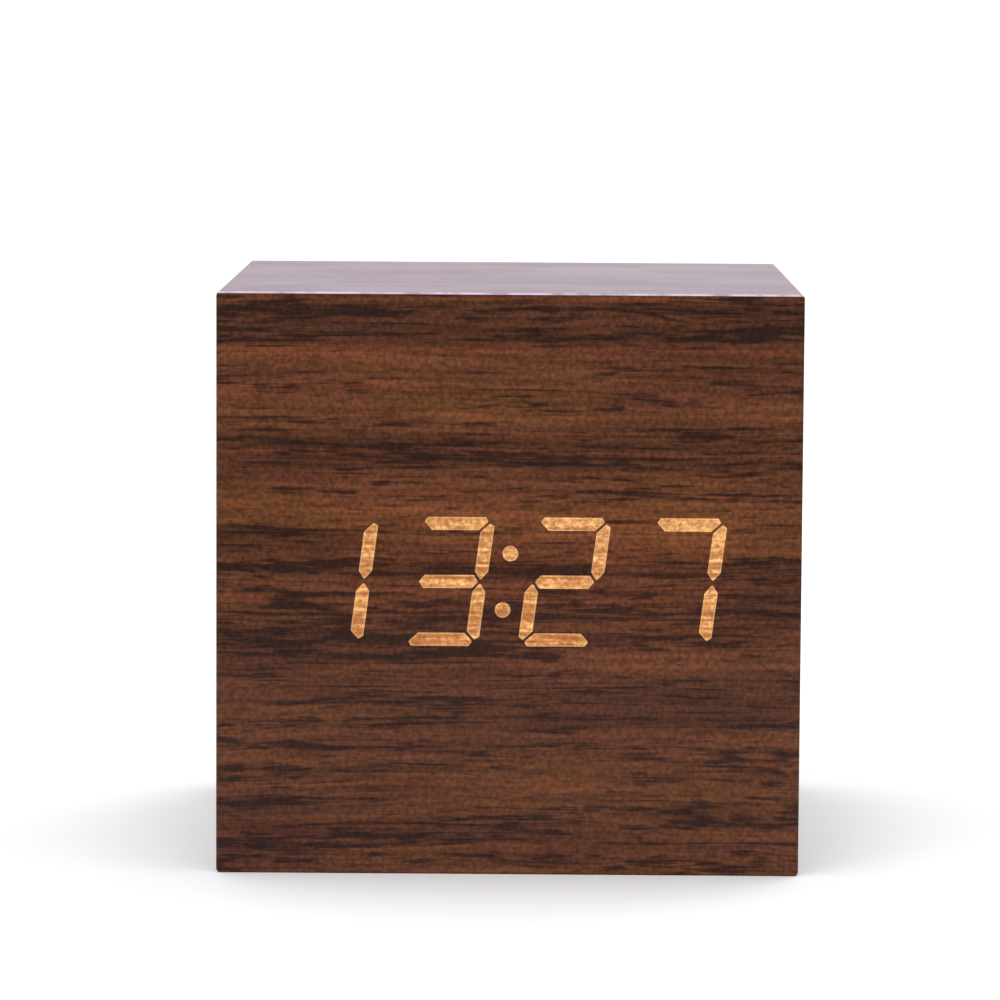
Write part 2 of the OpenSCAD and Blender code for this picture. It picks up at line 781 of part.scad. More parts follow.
module quartz_crystal() {
    color(METAL) on_main_board([crystal_x, chip_z])
        translate([0, crystal_l / 2, crystal_d / 2 + seat_gap]) rotate([90, 0, 0])
            cylinder(h = crystal_l, d = crystal_d);
}

module filter_capacitor() {
    r = capacitor_d / 2;
    groove = 0.3;
    groove_rise = 1;
    color("#22324a") on_main_board(capacitor_at) rotate_extrude() polygon([
        [0, 0], [r, 0], [r, groove_rise], [r - groove, groove_rise + groove], [r, groove_rise + 2 * groove],
        [r, capacitor_h - groove], [r - groove, capacitor_h], [0, capacitor_h]
    ]);
}

module chip_resistors() {
    color(BLACK_PLASTIC) for (i = [0:resistor_count - 1])
        on_main_board([(i - (resistor_count - 1) / 2) * resistor_pitch, resistor_z])
            translate([0, 0, resistor_size[1] / 2])
                cube([resistor_size[2], resistor_size[0], resistor_size[1]], center = true);
}

module buzzer() {
    color(BLACK_PLASTIC) on_main_board(buzzer_at) difference() {
        cylinder(h = buzzer_h, d = buzzer_d);
        translate([0, 0, buzzer_h / 2]) cylinder(h = buzzer_h, d = buzzer_hole_d);
    }
}

module microphone() {
    rim = 0.8;
    recess = 0.4;
    color(METAL) on_main_board(microphone_at) difference() {
        cylinder(h = microphone_h, d = microphone_d);
        translate([0, 0, microphone_h - recess]) cylinder(h = microphone_h, d = microphone_d - 2 * rim);
    }
}

// Rear panel

module at_panel_screws() {
    for (x = [-1, 1], z = [-1, 1])
        translate([x * panel_screw_x, 0, middle_z + z * panel_screw_z]) children();
}

function cell_z(row) = bay_top - bay_side - cell_d / 2 - row * cell_pitch;

module bay_rect(margin) {
    translate([0, bay_z]) square([bay_w + 2 * margin, bay_h + 2 * margin], center = true);
}

// Outline of the door, grown on all sides by margin. Its lower corners are square, so that they swing clear
module door_outline(margin) {
    w = door_w + 2 * margin;
    h = door_h + 2 * margin;
    translate([0, bay_z]) {
        round_rect(w, h, door_r + margin);
        translate([-w / 2, -h / 2]) square([w, h / 2]);
    }
}

// Room for the cells, their contacts and the door
module bay_cavity() {
    slab(ledge_y, panel_out_y + over) door_outline(door_gap);
    slab(cell_y, panel_out_y + over) bay_rect(0);
    for (row = [0:cell_count - 1])
        translate([-bay_w / 2, cell_y, cell_z(row)]) rotate([0, 90, 0])
            cylinder(h = bay_w, r = trough_r);
    for (side = [-1, 1])
        slab(slot_floor_y, panel_out_y) translate([side * (bay_w - slot_t) / 2, bay_z])
            square([slot_t, bay_h], center = true);
    for (end = [[-1, 0], [1, cell_count - 1]])
        slab(bay_floor_y - over, cell_y) translate([end[0] * (bay_w - slot_t) / 2, cell_z(end[1])])
            square([slot_t, tag_w + 2 * hook_fit], center = true);
}

// A slot of width w through the ledge and the bay's wall, above the bay (facing 1) or below it (facing -1)
module hook_slot(x, w, deep_y, facing) {
    edge = facing > 0 ? bay_top : bay_bottom;
    slab(deep_y, ledge_y + over) translate([x, edge]) square([w, 2 * door_lip], center = true);
    slab(deep_y, panel_in_y) translate([x, edge]) square([w, 2 * bay_wall + over], center = true);
}

// Slots for the door's tabs and for the latch's hook
module hook_slots() {
    for (side = [-1, 1]) hook_slot(side * tab_x, tab_w + 2 * hook_fit, tab_swing_y, -1);
    hook_slot(0, door_notch_w, latch_in_y - hook_fit, 1);
}

module usb_outline(grow) {
    w = usb_w / 2 + grow;
    h = usb_h / 2 + grow;
    c = usb_corner;
    polygon([[-w, h], [w, h], [w, -h + c], [w - c, -h], [-w + c, -h], [-w, -h + c]]);
}

module rear_panel() {
    root_y = (panel_in_y + panel_out_y) / 2;
    color(BLACK_PLASTIC) difference() {
        union() {
            slab(panel_in_y, panel_out_y) translate([0, middle_z])
                round_rect(inner_w - 2 * panel_gap, inner_h - 2 * panel_gap, panel_r);
            slab(bay_floor_y, root_y) bay_rect(bay_wall);
            for (side = [-1, 1]) bar_y([side * post_x, strip_z], key_board_y, root_y, post_d);
        }
        bay_cavity();
        hook_slots();
        slab(panel_out_y - scoop_depth, panel_out_y + over) translate([0, bay_top + door_lip])
            circle(scoop_r);
        for (x = [set_x, up_x, down_x])
            bar_y([x, strip_z], panel_in_y - over, panel_out_y + over, button_d + 2 * button_fit);
        slab(panel_in_y - over, panel_out_y + over) translate([usb_x, strip_z]) usb_outline(usb_fit);
        for (i = [0:sound_holes - 1])
            bar_y([(i - (sound_holes - 1) / 2) * sound_hole_pitch, floor_z + sound_hole_rise],
                panel_in_y - over, panel_out_y + over, sound_hole_d);
        for (side = [-1, 1])
            bar_y([side * post_x, strip_z], key_board_y - over, key_board_y + key_screw_bite + pilot_fit,
                board_screw_d + 2 * pilot_fit);
        at_panel_screws() {
            bar_y([0, 0], panel_in_y - over, panel_out_y + over, panel_screw_d + 2 * screw_fit);
            towards_rear([0, 0], panel_out_y - panel_head_h)
                cylinder(h = panel_head_h, d1 = panel_screw_d + 2 * pilot_fit,
                    d2 = panel_screw_head_d + 2 * pilot_fit);
        }
    }
}

module panel_screws() {
    shank = panel_screw_l + panel_t - panel_head_h;
    color(METAL) at_panel_screws() towards_rear([0, 0], panel_in_y - panel_screw_l)
        screw(panel_screw_d, shank, panel_screw_head_d, panel_head_h, true);
}

// Controls

module key_board() {
    color(GREEN_BOARD) difference() {
        slab(key_board_in_y, key_board_y) translate([0, strip_z])
            square([key_board_w, key_board_h], center = true);
        for (side = [-1, 1])
            bar_y([side * post_x, strip_z], key_board_in_y - over, key_board_y + over,
                board_screw_d + 2 * screw_fit);
    }
}

module key_board_screws() {
    color(METAL) for (side = [-1, 1])
        translate([side * post_x, key_board_y + key_screw_bite, strip_z]) rotate([90, 0, 0])
            screw(board_screw_d, key_screw_bite + pcb_t, board_screw_head_d, board_screw_head_h, false);
}

module key_switches() {
    pin = [0.6, 0.8, 0.2];
    color("#2b2b2d") for (x = [set_x, up_x, down_x]) towards_rear([x, strip_z], key_board_y) {
        difference() {
            translate([0, 0, switch_h / 2]) cube([switch_side, switch_side, switch_h], center = true);
            translate([0, 0, switch_h - plunger_in - button_travel - plunger_fit])
                cylinder(h = switch_h, d = plunger_d + 2 * plunger_fit);
        }
        for (side = [-1, 1], step = [-1, 1])
            translate([side * switch_side / 2, step * switch_side / 3, pin[2] / 2])
                cube([2 * pin[0], pin[1], pin[2]], center = true);
    }
}

module plunger(x) {
    color("#3a3a3d") bar_y([x, strip_z], switch_y - plunger_in, flange_in_y, plunger_d);
}

module set_plunger() plunger(set_x);
module up_plunger() plunger(up_x);
module down_plunger() plunger(down_x);

// A cap with a dished end and a flange; the child is cut into the end as a mark
module button(x) {
    cap_r = button_d / 2;
    bevel = 0.3;
    dish = 0.15;
    length = panel_out_y + button_proud - flange_in_y;
    color("#26262a") difference() {
        towards_rear([x, strip_z], flange_in_y) rotate_extrude() polygon([
            [0, 0], [cap_r + flange_lip, 0], [cap_r + flange_lip, flange_t], [cap_r, flange_t],
            [cap_r, length - bevel], [cap_r - bevel, length], [cap_r - 2 * bevel, length], [0, length - dish]
        ]);
        slab(panel_out_y + button_proud - dish - mark_depth, panel_out_y + button_proud + over)
            translate([x, strip_z]) children();
    }
}

module arrow_mark(up) {
    side = button_d / 4;
    polygon([[-side, -up * side / 2], [side, -up * side / 2], [0, up * side]]);
}

module set_button() button(set_x) circle(d = button_d / 4);
module up_button() button(up_x) arrow_mark(1);
module down_button() button(down_x) arrow_mark(-1);

module usb_shell() {
    color(METAL) slab(key_board_y, usb_out_y) translate([usb_x, strip_z]) difference() {
        usb_outline(0);
        usb_outline(-usb_wall);
    }
}

module usb_tongue() {
    base_l = 1.5;
    tongue_w = usb_w - 2 * usb_wall - 2 * usb_corner;
    tongue_h = 0.7;
    tongue_rise = usb_h / 8;
    color(BLACK_PLASTIC) translate([usb_x, 0, strip_z]) {
        slab(key_board_y, key_board_y + base_l) usb_outline(-usb_wall);
        slab(key_board_y, usb_out_y - usb_wall) translate([0, tongue_rise])
            square([tongue_w, tongue_h], center = true);
    }
}

// Batteries and contacts

// +1 where the cell's positive end points to +X
function polarity(row) = row % 2 == 0 ? 1 : -1;
spring_rest_x = bay_w / 2 - contact_t;

module aaa_cell(row) {
    r = cell_d / 2;
    rim = 0.4;
    step = 0.2;
    negative_x = -polarity(row) * (spring_rest_x - spring_l - contact_play);
    color("#3d5a73") translate([negative_x, cell_y, cell_z(row)])
        rotate([0, 90 * polarity(row), 0]) rotate_extrude() polygon([
            [0, 0], [r - rim, 0], [r, rim], [r, cell_l - nub_h - rim], [r - rim, cell_l - nub_h],
            [nub_d / 2, cell_l - nub_h], [nub_d / 2, cell_l - step], [nub_d / 2 - step, cell_l], [0, cell_l]
        ]);
}

module aaa_cell_top() aaa_cell(0);
module aaa_cell_middle() aaa_cell(1);
module aaa_cell_bottom() aaa_cell(2);

// A contact at one end of the bay that spans the cells from the first row to the last
module contact_plate(side, first, last, tagged) {
    high = cell_z(first) + contact_w / 2;
    low = cell_z(last) - contact_w / 2;
    x = side * (bay_w - contact_t) / 2;
    slab(slot_floor_y, contact_top_y) translate([x, (high + low) / 2])
        square([contact_t, high - low], center = true);
    if (tagged)
        slab(bay_floor_y - tag_l, slot_floor_y + over) translate([x, cell_z(first)])
            square([contact_t, tag_w], center = true);
}

module contact_plates() {
    color(METAL) {
        contact_plate(-1, 0, 0, true);
        contact_plate(1, 0, 1, false);
        contact_plate(-1, 1, 2, false);
        contact_plate(1, 2, 2, true);
    }
}

rings_per_turn = 16;
spring_rings = round(rings_per_turn * spring_turns);
spring_path = [
    for (i = [0:spring_rings])
        let (
            s = i / spring_rings,
            angle = 360 * spring_turns * s,
            radius = (spring_d * (1 - s) + spring_tip_d * s - spring_wire) / 2,
            rise = seat_gap + spring_wire / 2 + s * (spring_l - spring_wire - seat_gap)
        )
        [radius * cos(angle), radius * sin(angle), rise]
];
// Least gap of the spring to itself, over points at least three quarters of a turn apart
spring_gap = min([
    for (i = [0:spring_rings], j = [i + 3 / 4 * rings_per_turn:1:spring_rings])
        norm(spring_path[i] - spring_path[j])
]) - spring_wire;
echo(contact_spring_least_gap = spring_gap);

module contact_springs() {
    color(METAL) for (row = [0:cell_count - 1])
        translate([-polarity(row) * spring_rest_x, cell_y, cell_z(row)]) rotate([0, 90 * polarity(row), 0])
            tube(spring_path, spring_wire / 2, 6, [0, 0, 1]);
}

// Wiring inside the case

lead_steps = 16;

// A wire from a solder tag to the back of the main board
module lead(side, row) {
    start = [side * (bay_w - contact_t) / 2, bay_floor_y - tag_l - seat_gap, cell_z(row)];
    stop = [display_x + side * lead_pad[0], main_board_back_y + seat_gap, display_centre[1] + lead_pad[1]];
    reach = (start[1] - stop[1]) / 2;
    bend = [start, start - [0, reach, 0], stop + [0, reach, 0], stop];
    tube([for (i = [0:lead_steps]) bezier(bend, i / lead_steps)], lead_d / 2, 8, [0, 0, 1]);
}

module red_lead() color("#b3202a") lead(1, 2);
module black_lead() color("#202022") lead(-1, 0);

// The flat cable leaves the key board square to it and meets the main board square to it
module key_cable() {
    start = [key_board_in_y, strip_z];
    stop = [main_board_back_y, cable_z];
    reach = (start[0] - stop[0]) / 2;
    bend = [start, start - [reach, 0], stop + [reach, 0], stop];
    line = [for (i = [0:lead_steps]) bezier(bend, i / lead_steps)];
    thick = [0, cable_t / 2];
    color("#d8d4c8") across(0, cable_w)
        polygon(concat([for (p = line) p + thick], [for (i = [lead_steps:-1:0]) line[i] - thick]));
}

// Battery door

// A tab that hooks under the panel below the door, outline in Y and Z
function tab_outline() = [
    [hinge_y, door_bottom], [hinge_y, door_bottom + tab_leg_h], [tab_in_y, door_bottom + tab_leg_h],
    [tab_in_y, tab_low], [tab_out_y, tab_low], [tab_out_y, door_bottom]
];

// The door's section in Y and Z: its lower edge is half round about the line that it swings on
module door_section() {
    translate([door_in_y, hinge_z]) square([door_t, door_top - hinge_z]);
    translate([hinge_y, hinge_z]) circle(d = door_t);
}

module battery_door() {
    rib_low = cell_z(cell_count - 1);
    rib_high = cell_z(0);
    color(BLACK_PLASTIC) {
        difference() {
            intersection() {
                across(0, door_w) door_section();
                slab(door_in_y - over, panel_out_y + over) door_outline(0);
            }
            slab(door_in_y - over, panel_out_y + over) translate([-door_notch_w / 2, latch_bottom])
                square([door_notch_w, latch_h + over]);
            for (i = [1:grip_count])
                slab(panel_out_y - grip_depth, panel_out_y + over)
                    translate([0, latch_bottom - i * grip_pitch]) square([latch_w, grip_w], center = true);
        }
        for (side = [-1, 1]) {
            across(side * tab_x, tab_w) polygon(tab_outline());
            slab(door_in_y - door_rib_h, hinge_y) translate([side * tab_x - door_rib_w / 2, rib_low])
                square([door_rib_w, rib_high - rib_low]);
        }
    }
}

// A leaf bent into a U that stands in the door's notch, with a hook on its outer leg
module door_latch() {
    bend_r = latch_h / 2;
    bend_y = latch_in_y + bend_r;
    bend_z = latch_bottom + bend_r;
    leg_reach = panel_out_y - bend_y;
    color(BLACK_PLASTIC) across(0, latch_w) {
        difference() {
            translate([bend_y, bend_z]) circle(bend_r);
            translate([bend_y, bend_z]) circle(bend_r - latch_t);
            translate([bend_y, bend_z - bend_r]) square(2 * bend_r);
        }
        translate([bend_y, latch_bottom]) square([leg_reach, latch_t]);
        translate([bend_y, door_top - latch_t]) square([leg_reach, latch_t]);
        polygon([
            [bend_y, door_top - latch_t], [bend_y, door_top], [hook_out_y, door_top],
            [hook_out_y, door_top + latch_hook / 2], [hook_out_y - latch_hook / 2, door_top + latch_hook],
            [latch_in_y + latch_t / 4, door_top], [latch_in_y + latch_t / 2, door_top - latch_t]
        ]);
    }
}

top_board();
bottom_board();
left_board();
right_board();
front_board();
corner_blocks();
top_veneer();
bottom_veneer();
left_veneer();
right_veneer();
front_veneer();
rear_edge_veneer();
lit_segments();
segment_diffusers();
light_baffle();
led_chips();
main_board();
board_spacers();
main_board_screws();
controller_chip();
quartz_crystal();
filter_capacitor();
chip_resistors();
buzzer();
microphone();
rear_panel();
panel_screws();
key_board();
key_board_screws();
key_switches();
set_plunger();
up_plunger();
down_plunger();
set_button();
up_button();
down_button();
usb_shell();
usb_tongue();
contact_plates();
contact_springs();
aaa_cell_top();
aaa_cell_middle();
aaa_cell_bottom();
red_lead();
black_lead();
key_cable();
battery_door();
door_latch();
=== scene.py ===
# Looks of the cube desk clock: walnut veneer with amber digits, a moulded rear panel and its metal parts,
# on a pale floor in soft studio light. All lengths are in metres unless a name says millimetres.
import math

import bpy
from mathutils import Matrix, Vector


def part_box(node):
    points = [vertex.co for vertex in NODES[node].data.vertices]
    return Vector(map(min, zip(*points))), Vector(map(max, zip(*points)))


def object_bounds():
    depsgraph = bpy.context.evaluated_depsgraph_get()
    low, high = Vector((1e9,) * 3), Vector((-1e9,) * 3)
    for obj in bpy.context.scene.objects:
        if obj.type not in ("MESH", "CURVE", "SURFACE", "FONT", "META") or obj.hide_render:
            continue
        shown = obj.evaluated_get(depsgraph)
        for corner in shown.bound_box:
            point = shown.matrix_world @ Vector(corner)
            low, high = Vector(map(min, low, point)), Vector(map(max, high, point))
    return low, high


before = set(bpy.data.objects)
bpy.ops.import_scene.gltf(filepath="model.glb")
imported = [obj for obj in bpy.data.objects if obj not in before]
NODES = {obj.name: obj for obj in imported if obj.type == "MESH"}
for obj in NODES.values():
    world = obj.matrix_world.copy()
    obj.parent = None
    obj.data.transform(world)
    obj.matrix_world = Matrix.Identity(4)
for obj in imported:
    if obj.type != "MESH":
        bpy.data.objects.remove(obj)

CAD_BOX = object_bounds()
MM = 0.001

# Camera, as fitted to the corners of the front and top faces in the photograph
CAMERA_PLACE = Vector((0.00186, -0.55931, 0.09492))
CAMERA_LENS_MM = 174.87
CAMERA_SENSOR_MM = 36.0
CAMERA_PITCH_DEG = -5.797
CAMERA_YAW_DEG = 0.312
CAMERA_ROLL_DEG = 0.35

# Studio: a round floor whose tint evens out the sky's, a sky that is weaker overhead, and soft square
# lights, each with its place and the length of its side
FLOOR_RADIUS = 1.2
FLOOR_SIDES = 96
FLOOR_DARK = (0.85, 0.89, 0.81, 1.0)
FLOOR_PALE = (0.87, 0.91, 0.83, 1.0)
FLOOR_CLOUD_MM = 400.0
FLOOR_ROUGHNESS = 0.9
FLOOR_GLOSS = 0.1
SKY_COLOUR = (0.97, 0.91, 1.05, 1.0)
SKY_HORIZON = 1.2
SKY_ZENITH = 1.08
LIGHT_POWER = 3.0
LIGHTS = {
    "key": ((-0.5, -0.9, 1.1), 0.7),
    "over": ((0.0, 0.15, 1.2), 0.5),
    "rear": ((0.7, 1.0, 0.9), 0.7),
}

# Noise: the values that it mostly has, its detail where its lumps are large and where they are fine, and
# how the even noises are turned, in radians about X, Y and Z
NOISE_MIDDLE = 0.5
GRAIN_NOISE = (0.25, 0.75)
CLOUD_NOISE = (0.3, 0.7)
FULL_DETAIL = 2.0
FINE_DETAIL = 1.0
NOISE_TURN = (0.6, 0.4, 0.9)


def srgb(red, green, blue):
    """Linear colour of a display colour given in steps from 0 to 255."""
    def linear(step):
        share = step / 255
        return share / 12.92 if share <= 0.04045 else ((share + 0.055) / 1.055) ** 2.4
    return (linear(red), linear(green), linear(blue), 1.0)


class Finish:
    """A material under construction. Its methods add nodes and return the socket that holds the result."""

    def __init__(self, name):
        self.material = bpy.data.materials.new(name)
        self.material.use_nodes = True
        self.tree = self.material.node_tree
        self.shader = self.tree.nodes["Principled BSDF"]

    def feed(self, socket, value):
        if isinstance(value, bpy.types.NodeSocket):
            self.tree.links.new(value, socket)
        else:
            socket.default_value = value

    def add(self, kind, inputs, **settings):
        node = self.tree.nodes.new(kind)
        for name, value in settings.items():
            setattr(node, name, value)
        for socket, value in inputs.items():
            self.feed(node.inputs[socket], value)
        return node

    def set(self, **values):
        """Sets inputs of the shader by their names, with underscores for spaces."""
        for name, value in values.items():
            self.feed(self.shader.inputs[name.replace("_", " ")], value)

    def math(self, operation, first, second=0.0):
        return self.add("ShaderNodeMath", {0: first, 1: second}, operation=operation).outputs[0]

    def spread(self, value, low, high, to_low=0.0, to_high=1.0):
        """Maps low..high smoothly onto to_low..to_high."""
        inputs = {"Value": value, "From Min": low, "From Max": high, "To Min": to_low, "To Max": to_high}
        return self.add("ShaderNodeMapRange", inputs, interpolation_type="SMOOTHSTEP").outputs["Result"]

    def between(self, value, low, high, soft=0.05):
        """1 where value lies between low and high, with soft limits."""
        above = self.spread(value, low - soft, low + soft)
        below = self.spread(value, high - soft, high + soft, 1.0, 0.0)
        return self.math("MULTIPLY", above, below)

    def mix(self, share, first, second):
        """The colour first where share is 0, second where it is 1."""
        return self.add("ShaderNodeMix", {0: share, 6: first, 7: second}, data_type="RGBA").outputs[2]

    def choose(self, share, first, second):
        """The number first where share is 0, second where it is 1."""
        return self.add("ShaderNodeMix", {0: share, 2: first, 3: second}, data_type="FLOAT").outputs[0]

    def laid_over(self, tone, layer, share, colour):
        """The tone, which a colour covers by a share where the layer is 1."""
        return self.mix(self.math("MULTIPLY", layer, share), tone, colour)

    def vector_math(self, operation, inputs, output="Vector"):
        return self.add("ShaderNodeVectorMath", inputs, operation=operation).outputs[output]

    def scaled(self, colour, factor):
        return self.vector_math("SCALE", {0: colour, "Scale": factor})

    def tinted(self, colour, tint):
        return self.vector_math("MULTIPLY", {0: colour, 1: tint})

    def shaded(self, tone, noise, shades):
        """The tone at the first of two shades where the noise is weak, at the second where it is strong."""
        return self.scaled(tone, self.spread(noise, *GRAIN_NOISE, *shades))

    def vector(self, x, y, z):
        return self.add("ShaderNodeCombineXYZ", {0: x, 1: y, 2: z}).outputs[0]

    def place_mm(self):
        """The X, Y and Z of a surface point in millimetres, in the part's own frame."""
        place = self.add("ShaderNodeTexCoord", {}).outputs["Object"]
        return self.add("ShaderNodeSeparateXYZ", {0: self.scaled(place, 1 / MM)}).outputs

    def facing(self):
        """The X, Y and Z of the surface's direction."""
        direction = self.add("ShaderNodeTexCoord", {}).outputs["Normal"]
        return self.add("ShaderNodeSeparateXYZ", {0: direction}).outputs

    def noise(self, vector, scale=1.0, detail=FULL_DETAIL):
        inputs = {"Vector": vector, "Scale": scale, "Detail": detail}
        return self.add("ShaderNodeTexNoise", inputs).outputs["Fac"]

    def even_noise(self, size_mm, seed=0.0, detail=FULL_DETAIL):
        """Noise whose lumps are about size_mm wide in every direction, turned out of line with the clock."""
        place = self.add("ShaderNodeTexCoord", {}).outputs["Object"]
        scale = 1 / (size_mm * MM)
        inputs = {"Vector": place, "Location": (0, 0, seed), "Rotation": NOISE_TURN, "Scale": (scale,) * 3}
        return self.noise(self.add("ShaderNodeMapping", inputs).outputs[0], detail=detail)

    def rim(self, width_mm, samples=8, least_likeness=0.75):
        """1 at the outer edges of a face, falling to 0 at width_mm from them."""
        rounded = self.add("ShaderNodeBevel", {"Radius": width_mm * MM}, samples=samples).outputs[0]
        flat = self.add("ShaderNodeNewGeometry", {}).outputs["True Normal"]
        likeness = self.vector_math("DOT_PRODUCT", {0: rounded, 1: flat}, output="Value")
        return self.spread(likeness, 1.0, least_likeness)

    def bump(self, height, depth_mm, strength=1.0):
        inputs = {"Height": height, "Distance": depth_mm * MM, "Strength": strength}
        self.set(Normal=self.add("ShaderNodeBump", inputs).outputs[0])


# Grain of the walnut veneer

# Length along the grain and width across it of the lumps in each layer, in millimetres
LAYERS = {
    "wave": (60.0, 15.0),
    "ripple": (11.0, 3.0),
    "zones": (90.0, 6.5),
    "tracks": (40.0, 1.7),
    "streaks": (14.0, 0.65),
    "hairs": (2.6, 0.34),
    "short_pores": (4.5, 0.62),
    "rust": (60.0, 1.1),
    "specks": (2.8, 0.42),
    "blush": (26.0, 4.0),
    "strands": (1.5, 0.3),
    "long_pores": (10.0, 0.46),
}
# Depth in the noise from one layer to the next
LAYER_STEP = 7.3
# Layers with narrower lumps than this have fine detail
FINE_MM = 1.0
# Noise at which a layer begins to show, and at which it is strongest
SHOWN = {
    "zones": (0.38, 0.62),
    "tracks": (0.38, 0.64),
    "pores": (0.52, 0.76),
    "rust": (0.58, 0.72),
    "specks": (0.56, 0.74),
    "blush": (0.36, 0.64),
}
# How far the wave and the ripple bend the grain
WAVE_BEND_MM = 2.6
RIPPLE_BEND_MM = 0.4
# How much the hairs fray the pores, the tracks bunch them and the pale zones thin them out
SHORT_PORE_FRAY = 0.3
SHORT_PORE_BUNCH = 0.24
LONG_PORE_FRAY = 0.14
LONG_PORE_BUNCH = 0.12
PORE_THINNING = 0.12
MOTTLE_MM = 0.5


def grain_along_x(finish):
    """Grain that runs from left to right, for the front, the top and the underside."""
    x, y, z = finish.place_mm()
    return x, finish.math("ADD", y, z)


def grain_along_y(finish):
    """Grain that runs from front to back, for the two sides."""
    x, y, z = finish.place_mm()
    return y, finish.math("ADD", x, z)


def grain_round_ring(finish):
    """Grain that follows each strip of the rear edge and meets its neighbours in mitres."""
    x, y, z = finish.place_mm()
    height = finish.math("SUBTRACT", z, (CAD_BOX[0].z + CAD_BOX[1].z) / 2 / MM)
    upright = finish.math("GREATER_THAN", finish.math("ABSOLUTE", x), finish.math("ABSOLUTE", height))
    return finish.choose(upright, x, z), finish.choose(upright, z, x)


class Grain(Finish):
    """Open walnut grain, for the plain veneer and for the parts of it that are lit from behind."""

    def __init__(self, name, seed, direction):
        super().__init__(name)
        self.seed = seed
        self.along, self.across = direction(self)
        wave = self.math("MULTIPLY", self.fibre("wave"), WAVE_BEND_MM)
        ripple = self.math("MULTIPLY", self.fibre("ripple"), RIPPLE_BEND_MM)
        self.across = self.math("ADD", self.math("ADD", self.across, wave), ripple)
        self.zones = self.shown("zones")
        self.tracks = self.shown("tracks")
        self.streaks = self.fibre("streaks")
        self.hairs = self.fibre("hairs")
        short_pores = self.pores("short_pores", SHORT_PORE_FRAY, SHORT_PORE_BUNCH)
        long_pores = self.pores("long_pores", LONG_PORE_FRAY, LONG_PORE_BUNCH)
        self.dashes = self.math("MAXIMUM", short_pores, long_pores)
        self.rust = self.shown("rust")
        self.specks = self.shown("specks")
        self.blush = self.shown("blush")
        self.mottle = self.even_noise(MOTTLE_MM, seed, detail=FINE_DETAIL)

    def fibre(self, layer):
        """Noise drawn out along the grain into lumps of the layer's length and width."""
        length, width = LAYERS[layer]
        u = self.math("DIVIDE", self.along, length)
        v = self.math("DIVIDE", self.across, width)
        depth = self.seed + LAYER_STEP * list(LAYERS).index(layer)
        detail = FINE_DETAIL if width < FINE_MM else FULL_DETAIL
        return self.noise(self.vector(u, v, depth), detail=detail)

    def shown(self, layer):
        """How strongly a layer shows, from 0 to 1."""
        return self.spread(self.fibre(layer), *SHOWN[layer])

    def pores(self, layer, fray, bunch):
        """Dark dashes, frayed by the hairs, that crowd together on the tracks and in the dark zones."""
        dash = self.fibre(layer)
        for value, weight in ((self.hairs, fray), (self.tracks, bunch), (self.zones, -PORE_THINNING)):
            lift = self.math("MULTIPLY", self.math("SUBTRACT", value, NOISE_MIDDLE), weight)
            dash = self.math("ADD", dash, lift)
        return self.spread(dash, *SHOWN["pores"])


# Walnut veneer

FRONT_SEED = 13.6
TOP_SEED = 21.0
SIDE_SEED = 40.0
REAR_SEED = 57.0
FRONT_GLOSS = 0.04
TOP_GLOSS = 0.15
SIDE_GLOSS = 0.1
VENEER_ROUGHNESS = (0.24, 0.28)
VENEER_CLOUD_MM = 18.0
# Depth of the open pores, of those that more lacquer fills on the top, and the mottle's part of the relief
PORE_DEPTH_MM = 0.006
FILLED_PORE_DEPTH_MM = 0.0015
MOTTLE_RELIEF = 0.25

DARK_WOOD = srgb(77, 46, 29)
GOLDEN_WOOD = srgb(101, 62, 35)
ROSY_WOOD = srgb(97, 57, 37)
DARK_TRACK = srgb(53, 33, 22)
TRACK_SHARE = 0.26
RUST_STREAK = srgb(114, 61, 36)
RUST_SHARE = 0.5
OPEN_PORE = srgb(35, 22, 17)
PORE_SHARE = 0.84
SPECK_SHARE = 0.4
STREAK_SHADES = (1.2, 0.8)
HAIR_SHADES = (1.05, 0.95)
MOTTLE_SHADES = (0.73, 1.27)
# Painted reflection: a pale veil over the wood, strongest low down, which fades out between two heights
REFLECTION_VEIL = srgb(150, 140, 150)
REFLECTION_VEIL_SHARE = 0.016
VEIL_FULL_MM = 16.0
VEIL_END_MM = 38.0
# Light that spreads sideways in the front veneer, as a share of the wood's own colour
LEAK_TINT = (1.0, 0.65, 0.5)
LEAK_STRENGTH = 0.5
LEAK_REACH_MM = 5.0
# Painted highlight, in patches, where the surface faces forwards and up at once: where it begins and where it
# is full
PAINTED_EDGE_HIGHLIGHT = srgb(200, 186, 194)
EDGE_BEGIN = 0.5
EDGE_FULL = 0.65
HIGHLIGHT_PATCH_MM = 2.5
HIGHLIGHT_SEED_STEP = 1.0
HIGHLIGHT_NOISE = (0.35, 0.6)
HIGHLIGHT_SHARES = (0.55, 1.0)


def wood_tone(finish):
    """Colours of the grain, from its broad zones to its pores, under a pale veil of painted reflection."""
    tone = finish.mix(finish.zones, DARK_WOOD, finish.mix(finish.blush, GOLDEN_WOOD, ROSY_WOOD))
    tone = finish.laid_over(tone, finish.rust, RUST_SHARE, RUST_STREAK)
    tone = finish.laid_over(tone, finish.tracks, TRACK_SHARE, DARK_TRACK)
    tone = finish.shaded(tone, finish.streaks, STREAK_SHADES)
    tone = finish.shaded(tone, finish.hairs, HAIR_SHADES)
    tone = finish.laid_over(tone, finish.specks, SPECK_SHARE, OPEN_PORE)
    tone = finish.laid_over(tone, finish.dashes, PORE_SHARE, OPEN_PORE)
    tone = finish.shaded(tone, finish.mottle, MOTTLE_SHADES)
    x, y, z = finish.place_mm()
    # Paler and greyer towards the bottom: a painted reflection
    return finish.mix(finish.spread(z, VEIL_FULL_MM, VEIL_END_MM, REFLECTION_VEIL_SHARE, 0.0), tone, REFLECTION_VEIL)


